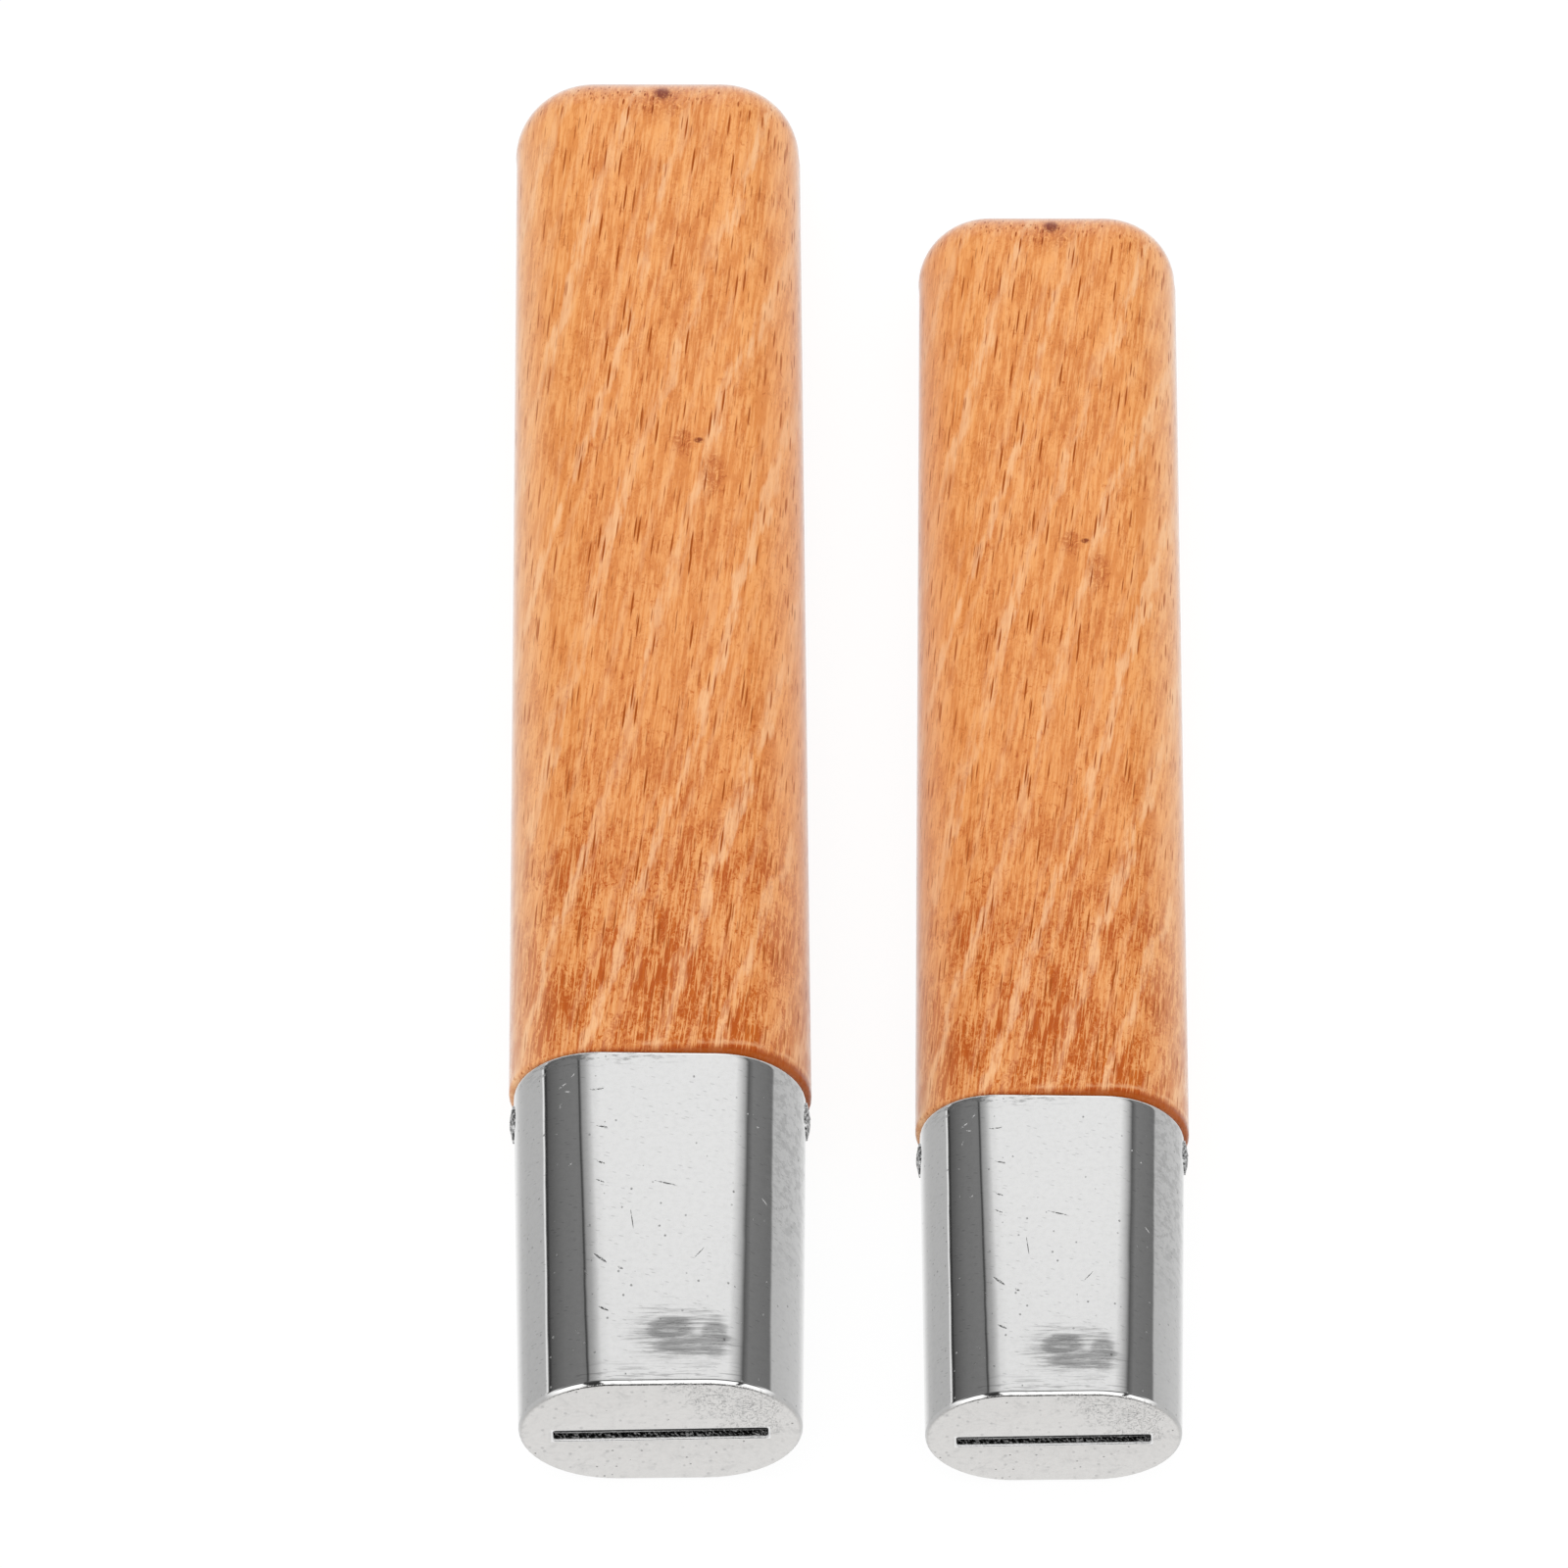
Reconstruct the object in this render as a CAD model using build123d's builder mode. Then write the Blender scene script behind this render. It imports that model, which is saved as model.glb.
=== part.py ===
# A pair of wooden knife handles, one large and one small, lying side by side on their flat undersides.
# Each wooden grip plugs into a metal ferrule with its tenon. A plate closes the front of the ferrule,
# with a slot for the knife's flat tang, and a nail through each side of the ferrule pins it to the wood.
# Millimetres. +Z is up and the ground is Z = 0. +Y runs from the front plates to the butt ends of the
# grips. The origin is the middle of the pair's footprint. The pieces are made on the large handle's
# own centre line, X = 0, with its front plate at Y = 0, and are then moved to their places.

import os

from build123d import *

os.makedirs("parts", exist_ok=True)

# The pair
small_ratio = 0.904      # size of the small handle against the large one
handle_gap = 9.7         # between the two grips at their widest
small_lead = 0.6         # how far the small handle's front plate lies ahead of the large one's

# Grip, large handle
overall_length = 148.0   # from the front plate to the butt end
shoulder_width = 28.5    # flat oval section where the wood meets the ferrule
shoulder_height = 18.4
butt_width = 26.75       # the same section at the butt end
butt_height = 14.8
butt_round = 6.8
shoulder_round = 0.5
underside_cut = 0.05     # planed off the underside, so that the grip lies flat

# Ferrule, large handle
ferrule_length = 36.1
side_step = 0.5          # how far the wood stands proud of the ferrule at its sides
face_step = 0.2          # and on its broad faces
side_draft = 0.4         # how far the ferrule narrows from its rim to its front plate, each side
face_draft = 0.1
wall = 1.0
plate_thickness = 1.0
front_round = 0.45

# Way for the tang
slot_width = 20.2
slot_height = 1.8
slot_drop = 0.5          # of the slot below the ferrule's centre line
slot_corner = 0.3
slot_edge_round = 0.12   # pressed edge of the slot, on the outside of the plate
kerf_depth = 85.0        # of the tapered kerf in the wood, from the front plate
kerf_end_width = 8.0

# Fit of the grip's tenon inside the ferrule
tenon_clearance = 0.1
tenon_end_gap = 0.3

# Nails
nail_diameter = 1.6
nail_cover = 1.0         # wood left between a nail's pilot hole and the kerf
nail_point = 1.2
nail_head_diameter = 3.6
nail_head_height = 0.45
nail_head_edge = 0.1     # height of the dome's edge above the ferrule's crest
nail_setback = 2.5       # of the nail from the ferrule's rim
nail_clearance = 0.05
nail_end_gap = 0.3

rim_width = shoulder_width - 2 * side_step
rim_height = shoulder_height - 2 * face_step
plate_width = rim_width - 2 * side_draft
plate_height = rim_height - 2 * face_draft
axis_height = shoulder_height / 2 - underside_cut
slot_axis = axis_height - slot_drop
tenon_front = plate_thickness + tenon_end_gap
nail_y = ferrule_length - nail_setback
nail_seat = (rim_width - 2 * side_draft * nail_setback / ferrule_length) / 2
kerf_share = (nail_y - tenon_front) / (kerf_depth - tenon_front)
kerf_at_nail = (slot_width + (kerf_end_width - slot_width) * kerf_share) / 2
nail_length = nail_seat - kerf_at_nail - nail_cover - nail_end_gap


def across(y, z):
    """The plane across a handle at y, with its origin at height z."""
    return Plane(origin=(0, y, z), x_dir=(1, 0, 0), z_dir=(0, -1, 0))


def ferrule_section(y, inset=0.0):
    """A sketch of the ferrule's flat oval at y, drawn in by the inset all round."""
    share = y / ferrule_length
    width = plate_width + (rim_width - plate_width) * share
    height = plate_height + (rim_height - plate_height) * share
    with BuildSketch(across(y, axis_height)) as section:
        SlotOverall(width - 2 * inset, height - 2 * inset)
    return section.sketch


def nail_plane(side):
    """The plane on the ferrule's side where a nail enters, facing outwards."""
    return Plane(origin=(side * nail_seat, nail_y, axis_height), z_dir=(side, 0, 0))


with BuildPart() as grip:
    with BuildSketch(across(ferrule_length, axis_height)):
        SlotOverall(shoulder_width, shoulder_height)
    with BuildSketch(across(overall_length, butt_height / 2 - underside_cut)):
        SlotOverall(butt_width, butt_height)
    loft(ruled=True)
    fillet(grip.faces().sort_by(Axis.Y)[-1].edges(), butt_round)
    fillet(grip.faces().sort_by(Axis.Y)[0].edges(), shoulder_round)
    split(bisect_by=Plane.XY, keep=Keep.TOP)
    # tenon
    tenon_inset = wall + tenon_clearance
    tenon = [ferrule_section(ferrule_length, tenon_inset), ferrule_section(tenon_front, tenon_inset)]
    loft(tenon, ruled=True)
    # tapered kerf for the tang
    with BuildSketch(Plane.XY.offset(slot_axis - slot_height / 2)):
        with BuildLine():
            Polyline(
                (-slot_width / 2, tenon_front),
                (slot_width / 2, tenon_front),
                (kerf_end_width / 2, kerf_depth),
                (-kerf_end_width / 2, kerf_depth),
                close=True,
            )
        make_face()
    extrude(amount=slot_height, mode=Mode.SUBTRACT)
    # pilot holes
    with Locations(nail_plane(-1), nail_plane(1)):
        Hole(nail_diameter / 2 + nail_clearance, depth=nail_length + nail_end_gap)

with BuildPart() as ferrule:
    loft([ferrule_section(0), ferrule_section(ferrule_length)], ruled=True)
    fillet(ferrule.faces().sort_by(Axis.Y)[0].edges(), front_round)
    cavity = [ferrule_section(plate_thickness, wall), ferrule_section(ferrule_length, wall)]
    loft(cavity, ruled=True, mode=Mode.SUBTRACT)
    with BuildSketch(across(0, slot_axis)):
        RectangleRounded(slot_width, slot_height, slot_corner)
    extrude(amount=-plate_thickness, mode=Mode.SUBTRACT)
    fillet(ferrule.faces().sort_by(Axis.Y)[0].inner_wires()[0].edges(), slot_edge_round)
    with Locations(nail_plane(-1), nail_plane(1)):
        Hole(nail_diameter / 2 + nail_clearance, depth=2 * wall)

with BuildPart() as right_nail:
    nail_side = Plane(origin=(nail_seat, nail_y, axis_height), x_dir=(1, 0, 0), z_dir=(0, 0, 1))
    nail_axis = Axis((nail_seat, nail_y, axis_height), (1, 0, 0))
    head_radius = nail_head_diameter / 2
    dome_rise = nail_head_height - nail_head_edge
    dome_radius = (dome_rise**2 + head_radius**2) / (2 * dome_rise)
    dome_middle = nail_head_height - dome_radius + (dome_radius**2 - head_radius**2 / 4) ** 0.5
    # domed head, seated on the ferrule's curved side
    with BuildSketch(nail_side):
        with BuildLine():
            ThreePointArc(
                (nail_head_edge, head_radius), (dome_middle, head_radius / 2), (nail_head_height, 0)
            )
            Polyline(
                (nail_head_height, 0),
                (-wall / 2, 0),
                (-wall / 2, head_radius),
                (nail_head_edge, head_radius),
            )
        make_face()
    revolve(axis=nail_axis)
    loft([ferrule_section(0), ferrule_section(ferrule_length)], ruled=True, mode=Mode.SUBTRACT)
    # pointed shank
    with BuildSketch(nail_side):
        with BuildLine():
            Polyline(
                (nail_head_height / 2, 0),
                (nail_head_height / 2, nail_diameter / 2),
                (nail_point - nail_length, nail_diameter / 2),
                (-nail_length, 0),
                close=True,
            )
        make_face()
    revolve(axis=nail_axis)

with BuildPart() as left_nail:
    mirror(right_nail.part, about=Plane.YZ)

row_width = shoulder_width * (1 + small_ratio) + handle_gap
row_length = overall_length + small_lead
handles = {
    "large": (1.0, (shoulder_width - row_width) / 2, small_lead - row_length / 2),
    "small": (small_ratio, (row_width - small_ratio * shoulder_width) / 2, -row_length / 2),
}
pieces = {"grip": grip, "ferrule": ferrule, "left_nail": left_nail, "right_nail": right_nail}
for handle, (ratio, x, y) in handles.items():
    for name, piece in pieces.items():
        placed = piece.part.scale(ratio).moved(Location((x, y, 0)))
        placed.label = f"{handle}_{name}"
        export_step(placed, f"parts/{placed.label}.step")
        print(placed.label, placed.bounding_box())
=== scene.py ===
import bmesh
import bpy
import math
from functools import reduce
from mathutils import Matrix, Vector


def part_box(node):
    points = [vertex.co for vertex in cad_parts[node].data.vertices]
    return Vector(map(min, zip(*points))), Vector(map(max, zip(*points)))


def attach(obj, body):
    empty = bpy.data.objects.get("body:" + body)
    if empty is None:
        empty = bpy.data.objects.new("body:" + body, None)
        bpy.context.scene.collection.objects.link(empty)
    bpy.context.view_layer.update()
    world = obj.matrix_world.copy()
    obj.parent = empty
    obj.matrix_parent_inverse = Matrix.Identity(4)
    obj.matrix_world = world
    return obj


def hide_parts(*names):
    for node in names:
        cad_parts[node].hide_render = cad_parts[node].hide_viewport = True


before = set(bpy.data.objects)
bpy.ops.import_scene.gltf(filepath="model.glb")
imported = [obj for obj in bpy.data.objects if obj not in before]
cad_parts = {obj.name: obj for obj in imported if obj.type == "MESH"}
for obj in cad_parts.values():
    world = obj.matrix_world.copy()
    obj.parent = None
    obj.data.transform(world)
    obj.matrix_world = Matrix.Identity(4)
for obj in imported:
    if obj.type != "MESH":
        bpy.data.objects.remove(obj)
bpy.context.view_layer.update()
print("frame loaded:", len(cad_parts), "solids")

handles = ("large", "small")
weld = 1e-6    # metres within which two vertices are one
slack = 1e-5   # and within which a vertex lies on a plane
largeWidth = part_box("large_grip")[1].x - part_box("large_grip")[0].x


def handleRatio(handle):
    low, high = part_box(handle + "_grip")
    return (high.x - low.x) / largeWidth


# Modelling helpers

def startPiece(name, place, rotation=(0, 0, 0)):
    # a one-metre square to shape, with nothing else selected, left in edit mode
    if bpy.context.object and bpy.context.object.mode == "EDIT":
        bpy.ops.object.mode_set(mode="OBJECT")
    bpy.ops.object.select_all(action="DESELECT")
    bpy.ops.mesh.primitive_plane_add(size=1, location=place, rotation=rotation)
    piece = bpy.context.object
    piece.name = name
    piece.data.name = name
    bpy.ops.object.transform_apply(location=True, rotation=True, scale=True)
    bpy.ops.object.mode_set(mode="EDIT")
    return piece


def pick(piece, kind, test):
    # selects the vertices, edges or faces that pass the test, and nothing else
    bpy.ops.mesh.select_mode(type={"verts": "VERT", "edges": "EDGE", "faces": "FACE"}[kind])
    bpy.ops.mesh.select_all(action="DESELECT")
    mesh = bmesh.from_edit_mesh(piece.data)
    for part in getattr(mesh, kind):
        if test(part):
            part.select_set(True)
    bmesh.update_edit_mesh(piece.data)


def nearY(y):
    # a test for parts that lie wholly at y
    return lambda part: all(abs(vert.co.y - y) < slack for vert in getattr(part, "verts", [part]))


def roundEdges(piece, test, radius, facets):
    pick(piece, "edges", test)
    bpy.ops.mesh.bevel(offset=radius, segments=facets, affect="EDGES", clamp_overlap=False)


def extrudeAlong(distance):
    bpy.ops.mesh.extrude_region_move(TRANSFORM_OT_translate={"value": (0, distance, 0)})


def turnFacesOut():
    bpy.ops.mesh.select_all(action="SELECT")
    bpy.ops.mesh.normals_make_consistent(inside=False)


def finishPiece(smoothAngle):
    bpy.ops.mesh.select_all(action="SELECT")
    bpy.ops.mesh.remove_doubles(threshold=weld)
    turnFacesOut()
    bpy.ops.object.mode_set(mode="OBJECT")
    bpy.ops.object.shade_smooth_by_angle(angle=math.radians(smoothAngle))


def flatOval(width, height, bulge=1.0):
    # width, height and the flat between the rounded ends, which bulge by a share of half the height
    return width, height, width - height * bulge


def ovalFace(name, centre, size, steps):
    # an upright flat oval: a rectangle between two rounded ends
    width, height, flat = size
    x, y, z = centre
    piece = startPiece(name, centre, (math.pi / 2, 0, 0))
    bpy.ops.transform.resize(value=(flat, 1, height), center_override=centre)
    bpy.ops.mesh.delete(type="ONLY_FACE")
    pick(piece, "edges", lambda edge: abs(edge.verts[0].co.x - edge.verts[1].co.x) < weld)
    bpy.ops.mesh.delete(type="EDGE")
    for side in (1, -1):
        end = (x + side * flat / 2, y, z)
        pick(piece, "verts", lambda vert: (vert.co - Vector(end)).z * side > 0 and (vert.co.x - x) * side > 0)
        bpy.ops.mesh.spin(steps=steps, angle=-math.pi, center=end, axis=(0, 1, 0))
        pick(piece, "verts", lambda vert: (vert.co.x - end[0]) * side > weld)
        bpy.ops.transform.resize(value=((width - flat) / height, 1, 1), center_override=end)
    bpy.ops.mesh.select_all(action="SELECT")
    bpy.ops.mesh.remove_doubles(threshold=weld)
    bpy.ops.mesh.edge_face_add()
    return piece


def reshapeOval(piece, y, middle, old, new, lift=0.0):
    # turns the flat oval at y into a new one, about the point (x, z)
    x, z = middle
    scale = ((new[0] - new[2]) / (old[0] - old[2]), 1, new[1] / old[1])
    for side in (1, -1):
        pick(piece, "verts", lambda vert: abs(vert.co.y - y) < slack and (vert.co.x - x) * side > 0)
        bpy.ops.transform.resize(value=scale, center_override=(x + side * old[2] / 2, y, z))
        bpy.ops.transform.translate(value=(side * (new[2] - old[2]) / 2, 0, lift))


def pushOval(piece, fromY, toY, middle, old, new, lift=0.0):
    # extrudes the flat oval face at fromY on to toY, where it has a new size
    pick(piece, "faces", nearY(fromY))
    extrudeAlong(toY - fromY)
    reshapeOval(piece, toY, middle, old, new, lift)


def between(start, end, share):
    return tuple(a + (b - a) * share for a, b in zip(start, end))


def turnEnd(piece, fromY, toY, middle, degrees):
    # turns all that lies between fromY and toY in the plan
    pick(piece, "verts", lambda vert: fromY < vert.co.y < toY)
    bpy.ops.transform.rotate(value=math.radians(degrees), orient_axis="Z", center_override=middle)


def cutWith(piece, cutter):
    bpy.ops.object.mode_set(mode="OBJECT")
    bpy.ops.object.select_all(action="DESELECT")
    piece.select_set(True)
    bpy.context.view_layer.objects.active = piece
    cut = piece.modifiers.new("cut", "BOOLEAN")
    cut.object = cutter
    cut.operation = "DIFFERENCE"
    cut.solver = "EXACT"
    bpy.ops.object.modifier_apply(modifier=cut.name)
    bpy.data.objects.remove(cutter)


# Ferrule

ferruleForm = {
    "sideDraft": 0.0004,
    "faceDraft": 0.0001,
    "rimBulge": 0.92,      # of the rounded sides, against half circles
    "frontBulge": 1.03,
    "rimTurn": 1.4,        # degrees that the rim is off square
    "wall": 0.001,
    "plate": 0.001,
    "frontRound": 0.00045,
    "rimRound": 0.0003,
    "frontReach": 1.3,     # from the front to the first straight section, in rounds of that edge
    "rimReach": 2.0,       # and from the last one to the rim
    "turnReach": 3.0,      # of the rim that is turned
    "slotSize": (0.0202, 0.0018),
    "slotDrop": 0.0005,
    "slotTilt": 0.7,
    "slotCorner": 0.0003,
    "slotRound": 0.00012,
    "steps": 28,           # faces round each end of the oval
    "frontFacets": 7,
    "edgeFacets": 3,
    "smoothAngle": 35,
}


def ferruleOvals(handle, inset=0.0):
    # the ferrule's section at its rim and at its front, drawn in by the inset
    form = ferruleForm
    ratio = handleRatio(handle)
    low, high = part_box(handle + "_ferrule")
    rim = flatOval(high.x - low.x, high.z - low.z, form["rimBulge"])
    frontWidth = rim[0] - 2 * form["sideDraft"] * ratio
    frontHeight = rim[1] - 2 * form["faceDraft"] * ratio
    front = flatOval(frontWidth, frontHeight, form["frontBulge"])
    return tuple((width - 2 * inset, height - 2 * inset, flat) for width, height, flat in (rim, front))


def makeFerrule(handle):
    form = ferruleForm
    ratio = handleRatio(handle)
    low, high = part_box(handle + "_ferrule")
    x, z = (low.x + high.x) / 2, (low.z + high.z) / 2
    frontY, rimY = low.y, high.y
    rim, plate = ferruleOvals(handle)
    length = rimY - frontY
    wall = form["wall"] * ratio
    ferrule = ovalFace(handle + "Ferrule", (x, frontY, z), plate, form["steps"])
    frontShare = form["frontReach"] * form["frontRound"] * ratio / length
    rimShare = form["rimReach"] * form["rimRound"] * ratio / length
    stations = [0, frontShare, 0.5, 1 - rimShare, 1]
    for start, end in zip(stations, stations[1:]):
        pushOval(ferrule, frontY + start * length, frontY + end * length, (x, z),
                 between(plate, rim, start), between(plate, rim, end))
    # hollow it from the rim, leaving the front plate
    pick(ferrule, "faces", nearY(rimY))
    bpy.ops.mesh.inset(thickness=wall)
    inner, innerFront = ferruleOvals(handle, wall)
    pick(ferrule, "faces", lambda face: len(face.verts) > 4 and nearY(rimY)(face))
    plateThickness = form["plate"] * ratio
    extrudeAlong(plateThickness - length)
    reshapeOval(ferrule, frontY + plateThickness, (x, z), inner, innerFront)

    def outer(y, size):
        # a test for the edges at y that lie on the outline, which is half a width from the middle
        width, height, flat = size

        def onOutline(vert):
            beyondFlat = max(0, abs(vert.co.x - x) - flat / 2)
            return math.hypot(beyondFlat / (width - flat), (vert.co.z - z) / height) > 0.499

        return lambda edge: nearY(y)(edge) and all(onOutline(vert) for vert in edge.verts)

    roundEdges(ferrule, outer(frontY, plate), form["frontRound"] * ratio, form["frontFacets"])
    roundEdges(ferrule, outer(rimY, rim), form["rimRound"] * ratio, form["edgeFacets"])
    turnFacesOut()
    # slot for the tang
    slotWidth, slotHeight = (side * ratio for side in form["slotSize"])
    slotZ = z - form["slotDrop"] * ratio
    cutter = startPiece("slotCutter", (x, frontY, slotZ), (math.pi / 2, 0, 0))
    bpy.ops.transform.resize(value=(slotWidth, 1, slotHeight), center_override=(x, frontY, slotZ))
    bpy.ops.transform.translate(value=(0, -wall, 0))
    extrudeAlong(3 * wall)
    turnFacesOut()
    roundEdges(cutter, lambda edge: abs(edge.verts[0].co.y - edge.verts[1].co.y) > wall,
               form["slotCorner"] * ratio, form["edgeFacets"])
    bpy.ops.mesh.select_all(action="SELECT")
    tilt = math.radians(form["slotTilt"])
    bpy.ops.transform.rotate(value=tilt, orient_axis="Y", center_override=(x, frontY, slotZ))
    cutWith(ferrule, cutter)
    bpy.ops.object.mode_set(mode="EDIT")
    reach = slotWidth / 2 * math.sin(tilt)

    def inSlot(vert):
        inWidth = abs(vert.co.x - x) < slotWidth / 2 + reach
        return inWidth and abs(vert.co.z - slotZ) < slotHeight / 2 + reach + slack

    roundEdges(ferrule, lambda edge: nearY(frontY)(edge) and all(inSlot(vert) for vert in edge.verts),
               form["slotRound"] * ratio, form["edgeFacets"])
    # the slot's sheared walls take a material of their own, with painted shade and painted highlights
    bpy.ops.object.material_slot_add()
    bpy.ops.object.material_slot_add()
    pick(ferrule, "faces", lambda face: all(inSlot(vert) for vert in face.verts) and abs(face.normal.y) < 0.3)
    ferrule.active_material_index = 1
    bpy.ops.object.material_slot_assign()
    turnFrom = rimY - form["turnReach"] * form["rimRound"] * ratio
    turnEnd(ferrule, turnFrom, rimY + wall, (x, rimY, z), form["rimTurn"])
    finishPiece(form["smoothAngle"])
    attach(ferrule, handle + "_handle")
    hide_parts(handle + "_ferrule")
    return ferrule


# Wooden grip

gripForm = {
    "shoulderHeight": 0.0184,
    "undersideCut": 0.00005,
    "buttSize": (0.02675, 0.0148),
    "buttRound": 0.0068,
    "buttTurn": 0.7,       # degrees that the butt end is off square
    "buttSet": 0.00015,    # and how far it is drawn in for that
    "shoulderRound": 0.0005,
    "shoulderReach": 1.4,  # from the shoulder to the first straight section, in rounds of that edge
    "buttReach": 1.15,     # and from the last one to the butt end
    "turnReach": 1.1,      # of the butt end that is turned
    "tenonGap": 0.0001,
    "kerfWidths": (0.0202, 0.008),
    "kerfHeight": 0.0018,
    "kerfDepth": 0.085,
    "tenonStep": 0.0001,   # short step in which the shoulder's outline turns into the tenon's
    "steps": 28,
    "buttFacets": 14,
    "shoulderFacets": 4,
    "smoothAngle": 35,
}


def makeGrip(handle):
    form = gripForm
    ratio = handleRatio(handle)
    low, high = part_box(handle + "_grip")
    ferruleLow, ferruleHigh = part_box(handle + "_ferrule")
    x = (low.x + high.x) / 2
    shoulderY, buttY, tenonY = ferruleHigh.y, high.y, low.y
    shoulder = flatOval(high.x - low.x, form["shoulderHeight"] * ratio)
    butt = flatOval(*(side * ratio for side in form["buttSize"]))
    z = shoulder[1] / 2 - form["undersideCut"] * ratio
    fall = (butt[1] - shoulder[1]) / 2
    length = buttY - shoulderY
    grip = ovalFace(handle + "Grip", (x, shoulderY, z), shoulder, form["steps"])
    shoulderRound, buttRound = form["shoulderRound"] * ratio, form["buttRound"] * ratio
    shoulderShare = form["shoulderReach"] * shoulderRound / length
    buttShare = form["buttReach"] * buttRound / length
    stations = [0, shoulderShare, 0.3, 0.6, 1 - buttShare, 1]
    for start, end in zip(stations, stations[1:]):
        pushOval(grip, shoulderY + start * length, shoulderY + end * length, (x, z + start * fall),
                 between(shoulder, butt, start), between(shoulder, butt, end), (end - start) * fall)
    roundEdges(grip, nearY(buttY), buttRound, form["buttFacets"])
    roundEdges(grip, nearY(shoulderY), shoulderRound, form["shoulderFacets"])
    turnEnd(grip, buttY - form["turnReach"] * buttRound, buttY + slack, (x, buttY, z), form["buttTurn"])
    bpy.ops.transform.translate(value=(0, -form["buttSet"] * ratio, 0))
    # tenon, inside the ferrule
    wallAndGap = (ferruleForm["wall"] + form["tenonGap"]) * ratio
    tenonRear, tenonFront = ferruleOvals(handle, wallAndGap)
    pick(grip, "faces", nearY(shoulderY))
    drawnIn = (shoulder[1] - tenonRear[1]) / 2
    bpy.ops.mesh.inset(thickness=drawnIn - shoulderRound)
    insetSize = (shoulder[0] - 2 * drawnIn, shoulder[1] - 2 * drawnIn, shoulder[2])
    pick(grip, "faces", lambda face: len(face.verts) > 4 and nearY(shoulderY)(face))
    step = form["tenonStep"]
    extrudeAlong(-step)
    reshapeOval(grip, shoulderY - step, (x, z), insetSize, tenonRear)
    pushOval(grip, shoulderY - step, tenonY, (x, z), tenonRear, tenonFront)
    bpy.ops.mesh.select_all(action="SELECT")
    bpy.ops.mesh.remove_doubles(threshold=weld)
    turnFacesOut()
    # flat underside
    bpy.ops.mesh.bisect(plane_co=(x, 0, 0), plane_no=(0, 0, 1), threshold=weld, use_fill=True,
                        clear_inner=True)
    # kerf for the tang
    frontWidth, endWidth = (side * ratio for side in form["kerfWidths"])
    kerfHeight = form["kerfHeight"] * ratio
    kerfZ = z - ferruleForm["slotDrop"] * ratio
    kerfEnd = ferruleLow.y + form["kerfDepth"] * ratio
    cutter = startPiece("kerfCutter", (x, tenonY, kerfZ), (math.pi / 2, 0, 0))
    bpy.ops.transform.resize(value=(frontWidth, 1, kerfHeight), center_override=(x, tenonY, kerfZ))
    bpy.ops.transform.translate(value=(0, -step, 0))
    extrudeAlong(kerfEnd - tenonY + step)
    bpy.ops.transform.resize(value=(endWidth / frontWidth, 1, 1), center_override=(x, kerfEnd, kerfZ))
    turnFacesOut()
    cutWith(grip, cutter)
    bpy.ops.object.mode_set(mode="EDIT")
    # the shoulder is turned with the ferrule's rim
    reach = 2 * shoulderRound
    turnEnd(grip, shoulderY - reach, shoulderY + reach, (x, shoulderY, z), ferruleForm["rimTurn"])
    finishPiece(form["smoothAngle"])
    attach(grip, handle + "_handle")
    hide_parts(handle + "_grip")
    return grip


# Nails

nailForm = {
    "headEdge": 0.0001,    # height of the head's edge above the ferrule
    "headSkirt": 3.0,      # how far the edge goes on into the ferrule's curve, in such heights
    "shank": 0.0008,       # radius
    "point": 0.0012,       # length
    "tip": 0.05,           # width left at the very point, as a share of the shank
    "hammered": 0.00006,   # depth of the hammer marks
    "turns": 32,
    "rings": 7,
    "smoothAngle": 60,
}


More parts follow.
